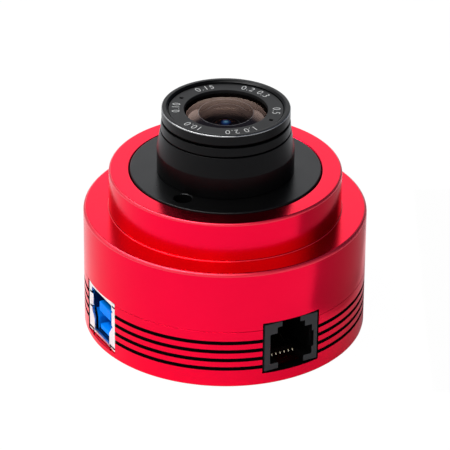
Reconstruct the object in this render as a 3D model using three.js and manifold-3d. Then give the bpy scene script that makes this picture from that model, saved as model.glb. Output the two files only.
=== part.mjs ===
// A round astronomy camera with a wide-angle lens, standing on its back plate with the lens up.
// Units are millimetres. +Z is the optical axis, Z = 0 is the back face, and the origin is its centre.
// The USB socket faces -X and the guide-port jack faces -Y.
import * as THREE from "three";
import { mergeVertices } from "three/addons/utils/BufferGeometryUtils.js";
import Module from "manifold-3d";

const wasm = await Module();
wasm.setup();

// ---------- driving dimensions ----------
const BODY_R = 31;
const WALL = 2.4;
const FLOOR = 2.4;
const SEAM_Z = 13.55;
const SHOULDER_Z = 27.8;
const ROOF_Z = 24.6; // underside of the front housing's roof
const NECK_R = 22.6; // threaded neck that the collar screws onto
const NECK_Z = 31;
const COLLAR_R = 25.4; // a 2 inch barrel
const COLLAR_Z = 36.8;
const COLLAR_LEDGE_Z = 31.25;
const T_THREAD_R = 21; // M42 x 0.75 in the collar
const FLANGE_Z = 37; // lens seat, 12.5 above the image plane
const CS_THREAD_R = 12.7; // 1"-32 in the adapter
const LENS_BASE_R = 14.95;
const LENS_BASE_TOP_R = 14.2;
const LENS_CYLINDER_Z = 42; // where the base starts to taper
const LENS_BASE_Z = 46.45;
const LOCK_RING_HEIGHT = 1.95;
const FOCUS_R = 13.93;
const RIM_Z = 51.7;
const CELL_R = 11.45;
const FIT = 0.15; // radial clearance of a screwed joint
const SEAT = 0.05; // gap between faces that rest on each other
const GROOVE_GAP = 0.3; // open gap above and below the lock ring
const GROOVE_DEPTH = 0.3;
const GROOVE_WIDTH = 0.9;
const GROOVE_ZS = [4.55, 6.67, 8.79, 10.91];
const SCREW_CIRCLE_R = 24.5;
const SCREW_R = 1.45;
const SCREW_HEAD_R = 2.75;
const POST_R = 3.4;
const MAIN_BOARD_Z = 15; // underside of the main board
const BOARD_T = 1.6;
const SENSOR_BOARD_Z = 21.6; // underside of the sensor board
const WINDOW_POCKET_R = 16.2;
const WINDOW_LEDGE_Z = 27.2;
const LIGHT_OPENING_R = 13; // hole in the roof above the sensor
const TRIPOD_HOLE_R = 3.2; // 1/4"-20
const TRIPOD_HOLE_DEPTH = 6;

const HOUSING_SEGMENTS = 48;
const LENS_SEGMENTS = 40;
const GLASS_SEGMENTS = 24;
const SMALL_SEGMENTS = 12;

// ---------- colours ----------
const paint = (color, roughness, metalness) =>
  new THREE.MeshStandardMaterial({ color, roughness, metalness });
const RED = paint(0xd4001f, 0.35, 0.75);
const BLACK_METAL = paint(0x1b1b1c, 0.45, 0.6);
const STEEL = paint(0xb9bbbd, 0.3, 0.95);
const SILVER = paint(0xe4e2dc, 0.35, 0.9);
const BLUE_PLASTIC = paint(0x0a62e0, 0.45, 0);
const BLACK_PLASTIC = paint(0x333333, 0.5, 0);
const GOLD = paint(0xd9b56a, 0.3, 1);
const BOARD_GREEN = paint(0x14321f, 0.5, 0.05);
const CHIP_BLACK = paint(0x202022, 0.6, 0);
const CERAMIC = paint(0x2b2724, 0.6, 0);
const SILICON = paint(0x3a3f5c, 0.2, 0.4);
const GLASS = paint(0xbfd3dc, 0.05, 0);
const RUBBER = paint(0x111111, 0.8, 0);

// ---------- solids ----------
const solidOf = (geometry) => {
  const bare = new THREE.BufferGeometry();
  bare.setAttribute("position", (geometry.index ? geometry.toNonIndexed() : geometry).getAttribute("position"));
  const merged = mergeVertices(bare, 1e-4);
  return new wasm.Manifold(
    new wasm.Mesh({
      numProp: 3,
      vertProperties: new Float32Array(merged.attributes.position.array),
      triVerts: new Uint32Array(merged.index.array),
    }),
  );
};

const geometryOf = (solid) => {
  const mesh = solid.getMesh();
  const positions = new Float32Array(mesh.numVert * 3);
  for (let i = 0; i < mesh.numVert; i++) {
    positions.set(mesh.vertProperties.subarray(i * mesh.numProp, i * mesh.numProp + 3), i * 3);
  }
  return new THREE.BufferGeometry()
    .setAttribute("position", new THREE.BufferAttribute(positions, 3))
    .setIndex(new THREE.BufferAttribute(mesh.triVerts, 1));
};

// A body of revolution about Z from [radius, z] corners. The outline may run either way round.
const revolve = (corners, segments) => {
  const onAxis = corners.some(([r]) => r === 0);
  const next = (i) => corners[(i + 1) % corners.length];
  const area = corners.reduce((sum, [r, z], i) => sum + r * next(i)[1] - next(i)[0] * z, 0);
  const outline = area > 0 ? [...corners] : [...corners].reverse();
  while (onAxis && !(outline[0][0] === 0 && outline.at(-1)[0] === 0)) outline.push(outline.shift());
  if (!onAxis) outline.push(outline[0]);
  const points = outline.map(([r, z]) => new THREE.Vector2(r, z));
  return solidOf(new THREE.LatheGeometry(points, segments).rotateX(Math.PI / 2));
};

const box = (x0, x1, y0, y1, z0, z1) =>
  solidOf(
    new THREE.BoxGeometry(x1 - x0, y1 - y0, z1 - z0).translate((x0 + x1) / 2, (y0 + y1) / 2, (z0 + z1) / 2),
  );

const rod = (radius, z0, z1, x = 0, y = 0, segments = SMALL_SEGMENTS) =>
  solidOf(
    new THREE.CylinderGeometry(radius, radius, z1 - z0, segments)
      .rotateX(Math.PI / 2)
      .translate(x, y, (z0 + z1) / 2),
  );

// An outline of [a, b] corners swept straight. Without a turn it lies in XY and rises along Z.
const prism = (corners, depth) =>
  new THREE.ExtrudeGeometry(new THREE.Shape(corners.map(([a, b]) => new THREE.Vector2(a, b))), {
    depth,
    bevelEnabled: false,
    steps: 1,
  });

// Outline of [y, z] corners, swept along X from x0 to x1.
const prismAlongX = (corners, x0, x1) =>
  solidOf(prism(corners, x1 - x0).rotateX(Math.PI / 2).rotateZ(Math.PI / 2).translate(x0, 0, 0));

// Outline of [x, z] corners, swept along Y from y0 to y1.
const prismAlongY = (corners, y0, y1) =>
  solidOf(prism(corners, y1 - y0).rotateX(Math.PI / 2).translate(0, y1, 0));

const join = (...solids) => solids.reduce((a, b) => a.add(b));
const cut = (solid, ...tools) => tools.reduce((a, b) => a.subtract(b), solid);

// ---------- the assembly ----------
const camera = new THREE.Group();
const add = (name, solid, material) => {
  const mesh = new THREE.Mesh(geometryOf(solid), material);
  mesh.name = name;
  camera.add(mesh);
};

const screwPlaces = [45, 135, 225, 315].map((degrees) => {
  const angle = THREE.MathUtils.degToRad(degrees);
  return [SCREW_CIRCLE_R * Math.cos(angle), SCREW_CIRCLE_R * Math.sin(angle)];
});
const atScrews = (radius, z0, z1) => screwPlaces.map(([x, y]) => rod(radius, z0, z1, x, y));

// ---------- connector openings ----------
const USB = { face: -30.3, back: -12.5, halfWidth: 6.1, z0: 1.55, z1: 13.7 };
const JACK = { face: -30.25, back: -14, halfWidth: 6.45, z0: 3.1, z1: 14.6 };
const OPENING_GAP = 0.25;
const usbOpening = box(
  -BODY_R - 1,
  USB.back + OPENING_GAP,
  -USB.halfWidth - OPENING_GAP,
  USB.halfWidth + OPENING_GAP,
  USB.z0 - 0.15,
  USB.z1 + OPENING_GAP,
);
const jackOpening = box(
  -JACK.halfWidth - OPENING_GAP,
  JACK.halfWidth + OPENING_GAP,
  -BODY_R - 1,
  JACK.back + OPENING_GAP,
  JACK.z0 - OPENING_GAP,
  JACK.z1 + OPENING_GAP,
);

// ---------- housings ----------
const LIP_R = BODY_R - 1.2; // register lip that centres the two housings
const LIP_Z = SEAM_Z + 1.2;
const INNER_R = BODY_R - WALL;

function rearHousing() {
  const grooves = GROOVE_ZS.flatMap((z) => [
    [BODY_R, z - GROOVE_WIDTH / 2],
    [BODY_R - GROOVE_DEPTH, z - GROOVE_WIDTH / 2],
    [BODY_R - GROOVE_DEPTH, z + GROOVE_WIDTH / 2],
    [BODY_R, z + GROOVE_WIDTH / 2],
  ]);
  const cup = revolve(
    [
      [0, 0],
      [BODY_R - 0.5, 0],
      [BODY_R, 0.5],
      ...grooves,
      [BODY_R, SEAM_Z],
      [LIP_R, SEAM_Z],
      [LIP_R, LIP_Z],
      [INNER_R, LIP_Z],
      [INNER_R, FLOOR],
      [0, FLOOR],
    ],
    HOUSING_SEGMENTS,
  );
  const tripodBoss = rod(6.5, FLOOR - 0.5, TRIPOD_HOLE_DEPTH + 1.2, 0, 0, 24);
  return cut(
    join(cup, tripodBoss, ...atScrews(POST_R, FLOOR - 0.5, MAIN_BOARD_Z - SEAT)),
    rod(TRIPOD_HOLE_R, -1, TRIPOD_HOLE_DEPTH, 0, 0, 24),
    ...atScrews(SCREW_R + 0.2, -1, MAIN_BOARD_Z + 1),
    ...atScrews(SCREW_HEAD_R + 0.2, -1, 3.25),
    usbOpening,
    jackOpening,
  );
}

function frontHousing() {
  const shell = revolve(
    [
      [LIP_R + 0.1, SEAM_Z + SEAT],
      [BODY_R, SEAM_Z + SEAT],
      [BODY_R, SHOULDER_Z - 0.8],
      [BODY_R - 0.8, SHOULDER_Z],
      [NECK_R, SHOULDER_Z],
      [NECK_R, NECK_Z],
      [WINDOW_POCKET_R, NECK_Z],
      [WINDOW_POCKET_R, WINDOW_LEDGE_Z],
      [LIGHT_OPENING_R, WINDOW_LEDGE_Z],
      [LIGHT_OPENING_R, ROOF_Z],
      [INNER_R, ROOF_Z],
      [INNER_R, LIP_Z + 0.15],
      [LIP_R + 0.1, LIP_Z + 0.15],
    ],
    HOUSING_SEGMENTS,
  );
  const bosses = atScrews(POST_R, SENSOR_BOARD_Z + BOARD_T + SEAT, ROOF_Z + 0.5);
  return cut(join(shell, ...bosses), ...atScrews(SCREW_R + 0.05, 20, 26.4), usbOpening, jackOpening);
}

function caseScrew(x, y) {
  const headTop = 3.2;
  const head = rod(SCREW_HEAD_R, 0.35, headTop, x, y);
  const shank = rod(SCREW_R, headTop - 0.5, 26, x, y);
  const hexSocket = rod(1.45, -1, 1.9, x, y, 6);
  return cut(join(head, shank), hexSocket);
}

// ---------- electronics ----------
function board(radius, z0) {
  return cut(rod(radius, z0, z0 + BOARD_T, 0, 0, HOUSING_SEGMENTS), ...atScrews(SCREW_R + 0.25, z0 - 1, z0 + 3));
}

// Chips on top of the main board: name, centre x and y, size along x and y, height.
const CHIPS = [
  ["logic_chip", 6, -2, 15, 15, 1.5],
  ["usb_controller_chip", -11, -3, 10, 10, 1.2],
  ["memory_chip", 7, -16.5, 12, 8, 1.1],
  ["crystal_can", -11, 6.5, 3.2, 2.5, 0.9],
  ["power_inductor", 19, 5, 4.4, 4.4, 2.4],
];

// Outline of the USB type B opening seen from outside: full width above, the narrow part below.
const usbOutline = (half, narrowHalf, top, bottom) => [
  [-half, top],
  [-half, 7],
  [-narrowHalf, 5.2],
  [-narrowHalf, bottom],
  [narrowHalf, bottom],
  [narrowHalf, 5.2],
  [half, 7],
  [half, top],
];

function usbShell() {
  const sheet = 0.35;
  const end = USB.back - 1.15; // the insulator's back plate closes the shell
  const outer = box(USB.face, end, -USB.halfWidth, USB.halfWidth, USB.z0, USB.z1);
  const hollow = box(
    USB.face + sheet,
    end + 1,
    -USB.halfWidth + sheet,
    USB.halfWidth - sheet,
    USB.z0 + sheet,
    USB.z1 - sheet,
  );
  const mouth = prismAlongX(usbOutline(4.55, 3.45, 12.6, 2.3), USB.face - 1, USB.face + 1);
  return cut(outer, hollow, mouth);
}

const USB_TONGUES = [
  { half: 2.75, z0: 7.4, z1: 9.8 }, // the wide tongue
  { half: 2.2, z0: 3.15, z1: 4.35 }, // the narrow high-speed tongue
];
const USB_TONGUE_FRONT = USB.face + 0.8;
const USB_CAVITY_BACK = USB.face + 11;

function usbInsulator() {
  const edge = 0.45; // clear of the shell's inner faces
  const block = box(
    USB.face + 0.5,
    USB.back - 0.5,
    -USB.halfWidth + edge,
    USB.halfWidth - edge,
    USB.z0 + edge,
    USB.z1 - edge,
  );
  const cavity = prismAlongX(usbOutline(4.75, 3.6, 12.8, 2.2), USB.face - 1, USB_CAVITY_BACK);
  const tongues = USB_TONGUES.map(({ half, z0, z1 }) =>
    box(USB_TONGUE_FRONT, USB_CAVITY_BACK + 1, -half, half, z0, z1),
  );
  const backPlate = box(USB.back - 1, USB.back, -5, 5, 2.5, MAIN_BOARD_Z - SEAT);
  const foot = box(-27, USB.back, -5, 5, USB.z1 + SEAT, MAIN_BOARD_Z - SEAT);
  return join(cut(block, cavity), ...tongues, backPlate, foot);
}

// Contact strips lie on the tongues: two above and two below the wide one, five below the narrow one.
function usbContacts() {
  const [wide, narrow] = USB_TONGUES;
  const thick = 0.15;
  const lift = 0.02;
  const strips = [];
  for (const y of [-1.25, 1.25]) strips.push([y, 0.5, wide.z1 + lift]);
  for (const y of [-1.25, 1.25]) strips.push([y, 0.5, wide.z0 - lift - thick]);
  for (const y of [-1.7, -0.85, 0, 0.85, 1.7]) strips.push([y, 0.22, narrow.z0 - lift - thick]);
  return strips.map(([y, half, z]) =>
    box(USB_TONGUE_FRONT + 0.5, USB_CAVITY_BACK - 0.3, y - half, y + half, z, z + thick),
  );
}

function jackHousing() {
  const body = box(-JACK.halfWidth, JACK.halfWidth, JACK.face, JACK.back, JACK.z0, JACK.z1);
  const front = JACK.face - 1;
  const plugCavity = box(-5.1, 5.1, front, JACK.face + 12.5, 4.6, 11.9);
  const latchWide = box(-3.35, 3.35, front, JACK.face + 8, 11, 13.35);
  const latchNarrow = box(-2.2, 2.2, front, JACK.face + 2.5, 13, JACK.z1 + 1);
  const contactSlot = box(-3.1, 3.1, front, JACK.face + 5.2, JACK.z0 - 1, 5);
  const sidePocket = box(4, 5.55, front, JACK.face + 1.2, 6.4, 10.3);
  return cut(body, plugCavity, latchWide, latchNarrow, contactSlot, sidePocket);
}

// A springy wire that rises through the slot, bends, and slopes up into the jack.
function jackContact(x) {
  const y = JACK.face + 3.6;
  const wire = [
    [y, 3.2],
    [y + 0.35, 3.2],
    [y + 0.35, 4.1],
    [y + 0.75, 4.45],
    [y + 8.1, 8.1],
    [y + 7.95, 8.45],
    [y + 0.55, 4.8],
    [y, 4.3],
  ];
  return prismAlongX(wire, x - 0.2, x + 0.2);
}

// ---------- image sensor and window ----------
const IMAGE_PLANE_Z = FLANGE_Z - 12.5;
const SENSOR_BASE_Z = SENSOR_BOARD_Z + BOARD_T + SEAT;

function sensorPackage() {
  const tray = box(-6.2, 6.2, -6.2, 6.2, SENSOR_BASE_Z, 25);
  return cut(tray, box(-4.6, 4.6, -3.8, 3.8, IMAGE_PLANE_Z - 0.4, 26));
}

const O_RING = { r: 14.9, z: WINDOW_LEDGE_Z + 0.4, section: 0.32 };
function windowSeal() {
  const corners = [];
  for (let i = 0; i < 8; i++) {
    const angle = (i * Math.PI) / 4;
    corners.push([O_RING.r + O_RING.section * Math.cos(angle), O_RING.z + O_RING.section * Math.sin(angle)]);
  }
  return revolve(corners, GLASS_SEGMENTS);
}

function windowRetainer() {
  const ring = revolve(
    [
      [13.6, 30.05],
      [16.05, 30.05],
      [16.05, 30.95],
      [13.6, 30.95],
    ],
    HOUSING_SEGMENTS,
  );
  return cut(ring, box(-17, -13, -0.6, 0.6, 30.5, 32), box(13, 17, -0.6, 0.6, 30.5, 32));
}

// ---------- lens mount rings ----------
function collar() {
  return revolve(
    [
      [NECK_R + FIT, SHOULDER_Z + SEAT],
      [COLLAR_R, SHOULDER_Z + SEAT],
      [COLLAR_R, COLLAR_Z - 0.6],
      [COLLAR_R - 0.6, COLLAR_Z],
      [T_THREAD_R + 0.3, COLLAR_Z],
      [T_THREAD_R, COLLAR_Z - 0.3],
      [T_THREAD_R, COLLAR_LEDGE_Z],
      [NECK_R + FIT, COLLAR_LEDGE_Z],
    ],
    HOUSING_SEGMENTS,
  );
}

const ADAPTER_HOLE_R = 17.05;
const ADAPTER_HOLE_ANGLES = [-150.4, 29.6]; // spanner holes, opposite each other
function lensAdapter() {
  const disc = revolve(
    [
      [CS_THREAD_R, 32.6],
      [T_THREAD_R - FIT, 32.6],
      [T_THREAD_R - FIT, FLANGE_Z - 0.35],
      [T_THREAD_R - FIT - 0.35, FLANGE_Z],
      [CS_THREAD_R, FLANGE_Z],
    ],
    HOUSING_SEGMENTS,
  );
  const holes = ADAPTER_HOLE_ANGLES.map((degrees) => {
    const angle = THREE.MathUtils.degToRad(degrees);
    return rod(1.9, 34.2, 38, ADAPTER_HOLE_R * Math.cos(angle), ADAPTER_HOLE_R * Math.sin(angle));
  });
  return cut(disc, ...holes);
}

const BORE_R = CELL_R + FIT; // focusing thread of the lens base, the lock ring and the focus ring
function lensBase() {
  return revolve(
    [
      [BORE_R, 33],
      [CS_THREAD_R - FIT, 33],
      [CS_THREAD_R - FIT, FLANGE_Z + SEAT],
      [LENS_BASE_R, FLANGE_Z + SEAT],
      [LENS_BASE_R, LENS_CYLINDER_Z],
      [LENS_BASE_TOP_R, LENS_BASE_Z],
      [BORE_R, LENS_BASE_Z],
    ],
    LENS_SEGMENTS,
  );
}

const LOCK_Z0 = LENS_BASE_Z + GROOVE_GAP;
const LOCK_Z1 = LOCK_Z0 + LOCK_RING_HEIGHT;
const FOCUS_Z0 = LOCK_Z1 + GROOVE_GAP;
function lockRing() {
  return revolve(
    [
      [BORE_R, LOCK_Z0],
      [LENS_BASE_TOP_R - 0.05, LOCK_Z0],
      [FOCUS_R + 0.02, LOCK_Z1],
      [BORE_R, LOCK_Z1],
    ],
    LENS_SEGMENTS,
  );
}

const NAME_RING_R = 12.4;
const NAME_RING_Z = 51.15;
function focusRing() {
  return revolve(
    [
      [BORE_R, FOCUS_Z0],
      [FOCUS_R, FOCUS_Z0],
      [FOCUS_R, RIM_Z - 0.12],
      [FOCUS_R - 0.12, RIM_Z],
      [13, RIM_Z],
      [NAME_RING_R + FIT, RIM_Z - 0.4],
      [NAME_RING_R + FIT, FOCUS_Z0 + 0.8],
      [BORE_R, FOCUS_Z0 + 0.8],
    ],
    LENS_SEGMENTS,
  );
}

const NAME_RING_HOLE_R = 10.9;
const NAME_RING_HOLE_ANGLES = [-56, 124];
function nameRing() {
  const ring = revolve(
    [
      [9.05, NAME_RING_Z - 0.8],
      [NAME_RING_R, NAME_RING_Z - 0.8],
      [NAME_RING_R, NAME_RING_Z],
      [9.05, NAME_RING_Z],
    ],
    LENS_SEGMENTS,
  );
  const holes = NAME_RING_HOLE_ANGLES.map((degrees) => {
    const angle = THREE.MathUtils.degToRad(degrees);
    return rod(0.45, 50, 52, NAME_RING_HOLE_R * Math.cos(angle), NAME_RING_HOLE_R * Math.sin(angle), 8);
  });
  return cut(ring, ...holes);
}

// ---------- optics ----------
const CELL_Z0 = 34;
const CELL_STEPS = [
  // bore radius and the height it starts at, from the back of the lens to the front
  [5.2, CELL_Z0],
  [6.05, 40.2],
  [7.05, 43],
  [10.4, 46.6],
];
function lensCell() {
  const stairs = CELL_STEPS.flatMap(([r, z], i) => [
    [r, z],
    [r, CELL_STEPS[i + 1]?.[1] ?? 50.3],
  ]);
  return revolve(
    [
      ...stairs,
      [NAME_RING_R - 0.05, 50.3],
      [NAME_RING_R - 0.05, FOCUS_Z0 + 0.85],
      [CELL_R, FOCUS_Z0 + 0.85],
      [CELL_R, CELL_Z0],
    ],
    LENS_SEGMENTS,
  );
}

// Points of a spherical face from the axis out to the radius edge. Positive sphere radii bulge upwards.
const face = (sphere, apex, edge, steps = 5) =>
  Array.from({ length: steps + 1 }, (_, i) => {
    const r = (edge * i) / steps;
    return [r, apex - Math.sign(sphere) * (Math.abs(sphere) - Math.sqrt(sphere * sphere - r * r))];
  });

// A lens element from its outer radius, its two faces as [sphere, apex, clear radius], front one first,
// and how far its back seat falls from the clear radius out to the rim.
function element(radius, front, back, seatFall = 0) {
  const top = face(...front);
  const bottom = face(...back);
  const rim = [];
  if (front[2] < radius) rim.push([radius, top.at(-1)[1]]);
  if (back[2] < radius) rim.push([radius, bottom.at(-1)[1] - seatFall]);
  return revolve([...top, ...rim, ...bottom.reverse()], GLASS_SEGMENTS);
}

const ELEMENTS = [
  // name, radius, front face and back face as [sphere, apex height, clear radius], fall of the back seat
  ["front_element", 10.25, [36, 51.4, 10.25], [12.3, 50.7, 5.7], 1.15],
  ["second_element", 6.9, [14, 46.3, 6.9], [4.3, 45.4, 3.6]],
  ["third_element", 5.9, [11, 42.9, 5.9], [-14, 40.2, 5.6]],
  ["fourth_element", 5.05, [9, 39.75, 5.05], [-12, 36.7, 5.05]],
  ["rear_element", 5.05, [16, 36.4, 5.05], [-20, 35.05, 5.05]],
];

const opticsRing = (inner, outer, z0, z1, outerZ1 = z1) =>
  revolve(
    [
      [inner, z0],
      [outer, z0],
      [outer, outerZ1],
      [inner, z1],
    ],
    GLASS_SEGMENTS,
  );

// ---------- put the camera together ----------
add("rear_housing", rearHousing(), RED);
add("front_housing", frontHousing(), RED);
screwPlaces.forEach(([x, y], i) => {
  add(`case_screw_${i + 1}`, caseScrew(x, y), STEEL);
  const spacer = cut(
    rod(2.6, MAIN_BOARD_Z + BOARD_T + SEAT, SENSOR_BOARD_Z - SEAT, x, y),
    rod(SCREW_R + 0.15, 10, 30, x, y),
  );
  add(`board_spacer_${i + 1}`, spacer, STEEL);
});
add("main_board", board(27.6, MAIN_BOARD_Z), BOARD_GREEN);
add("sensor_board", board(27.2, SENSOR_BOARD_Z), BOARD_GREEN);
const mainTop = MAIN_BOARD_Z + BOARD_T + SEAT;
for (const [name, x, y, sx, sy, height] of CHIPS) {
  const chip = box(x - sx / 2, x + sx / 2, y - sy / 2, y + sy / 2, mainTop, mainTop + height);
  add(name, chip, name === "crystal_can" ? STEEL : CHIP_BLACK);
}
const connectorMidZ = (mainTop + SENSOR_BOARD_Z) / 2;
add("board_plug", box(-12, 12, 14, 19, mainTop, connectorMidZ - SEAT), CHIP_BLACK);
add("board_socket", box(-12, 12, 14, 19, connectorMidZ, SENSOR_BOARD_Z - SEAT), CHIP_BLACK);

add("usb_shell", usbShell(), SILVER);
add("usb_insulator", usbInsulator(), BLUE_PLASTIC);
usbContacts().forEach((strip, i) => add(`usb_contact_${i + 1}`, strip, GOLD));
add("guide_jack_housing", jackHousing(), BLACK_PLASTIC);
for (let i = 0; i < 6; i++) add(`guide_jack_contact_${i + 1}`, jackContact((i - 2.5) * 1.02), GOLD);

add("sensor_package", sensorPackage(), CERAMIC);
add("sensor_die", box(-4, 4, -3.2, 3.2, IMAGE_PLANE_Z - 0.35, IMAGE_PLANE_Z), SILICON);
add("sensor_cover_glass", box(-5.8, 5.8, -5.8, 5.8, 25 + SEAT, 25.5), GLASS);
add("window_seal", windowSeal(), RUBBER);
add("window_glass", rod(15.9, 28, 30, 0, 0, HOUSING_SEGMENTS), GLASS);
add("window_retainer", windowRetainer(), BLACK_METAL);

add("two_inch_collar", collar(), RED);
add("lens_adapter", lensAdapter(), BLACK_METAL);
add("lens_base", lensBase(), BLACK_METAL);
add("focus_lock_ring", lockRing(), BLACK_METAL);
add("focus_ring", focusRing(), BLACK_METAL);
add("name_ring", nameRing(), BLACK_METAL);
add("lens_cell", lensCell(), BLACK_METAL);
for (const [name, ...shape] of ELEMENTS) add(name, element(...shape), GLASS);
add("front_spacer", opticsRing(5.8, 10.3, 46.6 + SEAT, 49.24, 48.1), BLACK_METAL);
add("aperture_stop", opticsRing(3.4, 6, 40.22, 40.4), BLACK_METAL);
add("rear_retainer", opticsRing(4.2, 5.1, CELL_Z0 + 0.05, 34.4), BLACK_METAL);

export default camera;
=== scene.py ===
"""Looks for a round red astronomy camera with a wide-angle lens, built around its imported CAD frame.

Pieces are drawn in millimetres in the frame's own axes (+Z is the optical axis, the back face is at Z = 0,
the USB socket faces -X and the guide-port jack faces -Y) and end up in metres.
"""
import math

import bmesh
import bpy
from mathutils import Matrix, Vector


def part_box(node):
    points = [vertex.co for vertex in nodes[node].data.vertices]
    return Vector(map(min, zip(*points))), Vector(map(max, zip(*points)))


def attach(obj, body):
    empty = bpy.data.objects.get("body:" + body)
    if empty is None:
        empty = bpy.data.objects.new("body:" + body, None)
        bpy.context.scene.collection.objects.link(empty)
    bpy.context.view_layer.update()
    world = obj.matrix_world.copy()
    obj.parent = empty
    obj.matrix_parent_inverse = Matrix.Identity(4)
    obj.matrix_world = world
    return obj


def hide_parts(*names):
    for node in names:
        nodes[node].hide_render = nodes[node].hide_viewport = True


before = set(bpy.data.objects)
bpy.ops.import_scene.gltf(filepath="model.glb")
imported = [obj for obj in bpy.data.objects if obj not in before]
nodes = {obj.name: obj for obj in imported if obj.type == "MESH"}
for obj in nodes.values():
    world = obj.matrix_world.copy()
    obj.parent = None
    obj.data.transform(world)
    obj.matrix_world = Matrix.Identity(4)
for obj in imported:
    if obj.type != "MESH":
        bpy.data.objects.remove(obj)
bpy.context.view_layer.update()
MM = 0.001


def span(node):
    """Lowest and highest corner of a CAD node, in millimetres."""
    low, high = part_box(node)
    return low / MM, high / MM


def linked(name, data):
    """A new object in the scene."""
    made = bpy.data.objects.new(name, data)
    bpy.context.scene.collection.objects.link(made)
    return made


# --- camera ---
AZIMUTH = math.radians(-28.5)
ELEVATION = 28.84  # degrees
ROLL = math.radians(0.57)
DISTANCE = 0.7
LENS_MM = 255.5
AIM = Vector((0, 0, 0.025))
AIM_DROP = 0.00213  # how far below AIM the picture's middle lies


def studio_direction(turn, rise):
    """A direction: turn is in degrees to the right of the camera, rise in degrees above the floor."""
    angle = AZIMUTH + math.radians(turn)
    up = math.radians(rise)
    return Vector((math.sin(angle) * math.cos(up), -math.cos(angle) * math.cos(up), math.sin(up)))


def make_camera():
    back, right = studio_direction(0, ELEVATION), studio_direction(90, 0)
    up = back.cross(right)
    data = bpy.data.cameras.new("camera")
    data.lens = LENS_MM
    data.sensor_width = 36
    data.clip_start = 0.01
    data.clip_end = 20
    camera = linked("camera", data)
    turned_right = right * math.cos(ROLL) + up * math.sin(ROLL)
    turned_up = up * math.cos(ROLL) - right * math.sin(ROLL)
    place = AIM + back * DISTANCE
    look = (AIM - turned_up * AIM_DROP - place).normalized()
    turned_up = (turned_up - look * turned_up.dot(look)).normalized()
    camera.matrix_world = Matrix(
        [[turned_right[i], turned_up[i], -look[i], place[i]] for i in range(3)] + [[0, 0, 0, 1]]
    )
    bpy.context.scene.camera = camera


make_camera()


# --- materials ---
PUPIL_R = 1.35  # reach of the painted blue reflection in the middle of the lens


def new_material(name, **sockets):
    """A Principled material with sockets set by name, such as base_color=..., and its shader."""
    material = bpy.data.materials.new(name)
    material.use_nodes = True
    tree = material.node_tree
    shader = tree.nodes["Principled BSDF"]
    for key, value in sockets.items():
        socket = shader.inputs[key.replace("_", " ").title().replace("Ior", "IOR")]
        socket.default_value = (*value, 1) if isinstance(value, tuple) and len(value) == 3 else value
    return material, shader


def add_node(tree, kind, inputs=(), **settings):
    node = tree.nodes.new("ShaderNode" + kind)
    for key, value in settings.items():
        setattr(node, key, value)
    for key, value in dict(inputs).items():
        if isinstance(value, bpy.types.NodeSocket):
            tree.links.new(value, node.inputs[key])
        else:
            node.inputs[key].default_value = value
    return node


def object_point(tree):
    return add_node(tree, "TexCoord").outputs["Object"]


def noise_at(tree, scale, detail):
    where = object_point(tree)
    return add_node(tree, "TexNoise", {"Vector": where, "Scale": scale, "Detail": detail}).outputs["Fac"]


def ramped(tree, factor, *stops):
    """A colour ramp's output. Each stop is a place and a colour or a single value."""
    ramp = add_node(tree, "ValToRGB", {"Fac": factor})
    while len(ramp.color_ramp.elements) < len(stops):
        ramp.color_ramp.elements.new(0.5)
    for element, (place, color) in zip(ramp.color_ramp.elements, stops):
        element.position = place
        element.color = (*color, 1) if isinstance(color, tuple) else (color, color, color, 1)
    return ramp.outputs["Color"]


def vary(shader, colors, scale, socket="Base Color"):
    """Blends a socket between two colours or two values with soft noise. scale is in waves per metre."""
    tree = shader.id_data
    low, high = colors
    blend = ramped(tree, noise_at(tree, scale, 3), (0.3, low), (0.7, high))
    tree.links.new(blend, shader.inputs[socket])


def bumped(tree, height, depth, **under):
    """A bump's normal. depth is in metres."""
    bump = add_node(tree, "Bump", {"Height": height, "Strength": 1.0, "Distance": depth, **under})
    return bump.outputs["Normal"]


def roughen(shader, scale, depth, **under):
    """Fine noise bump, alone or over another bump's Normal."""
    tree = shader.id_data
    normal = bumped(tree, noise_at(tree, scale, 2), depth, **under)
    tree.links.new(normal, shader.inputs["Normal"])


def turning_marks(shader, pitch, depth, grain_scale, grain_depth):
    """Lathe marks that run round the Z axis, on flat and round faces alike, under a fine blasted grain."""
    tree = shader.id_data
    split = add_node(tree, "SeparateXYZ", {"Vector": object_point(tree)})
    x, y, z = (split.outputs[axis] for axis in "XYZ")
    flat = add_node(tree, "CombineXYZ", {"X": x, "Y": y})
    radius = add_node(tree, "VectorMath", {0: flat.outputs["Vector"]}, operation="LENGTH")
    run = add_node(tree, "Math", {0: radius.outputs["Value"], 1: z}, operation="ADD").outputs["Value"]
    settings = {"W": run, "Scale": 1 / pitch, "Detail": 2.0}
    lines = add_node(tree, "TexNoise", settings, noise_dimensions="1D").outputs["Fac"]
    roughen(shader, grain_scale, grain_depth, Normal=bumped(tree, lines, depth))


def red_anodised(name, coat, blur=0.0):
    """Dyed anodising over blasted metal: a coloured mirror that whitens only where it is seen edge on."""
    material, shader = new_material(
        name, metallic=1.0, specular_tint=(1.0, 0.75, 0.75), coat_weight=coat, coat_roughness=0.1 + blur
    )
    vary(shader, ((0.88, 0.0006, 0.034), (0.94, 0.0009, 0.039)), 40)
    vary(shader, (0.18 + blur, 0.22 + blur), 120, socket="Roughness")
    turning_marks(shader, 2.2e-4, 6e-7, 9000, 7e-7)
    return material


def turned_black(name, colors, scale, roughness, roughness_scale, **sockets):
    """Black anodising, or an edge of it rubbed to a soft shine, under fine lathe marks."""
    material, shader = new_material(name, **sockets)
    vary(shader, colors, scale)
    vary(shader, roughness, roughness_scale, socket="Roughness")
    turning_marks(shader, 1.8e-4, 8e-7, 12000, 1.2e-6)
    return material


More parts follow.
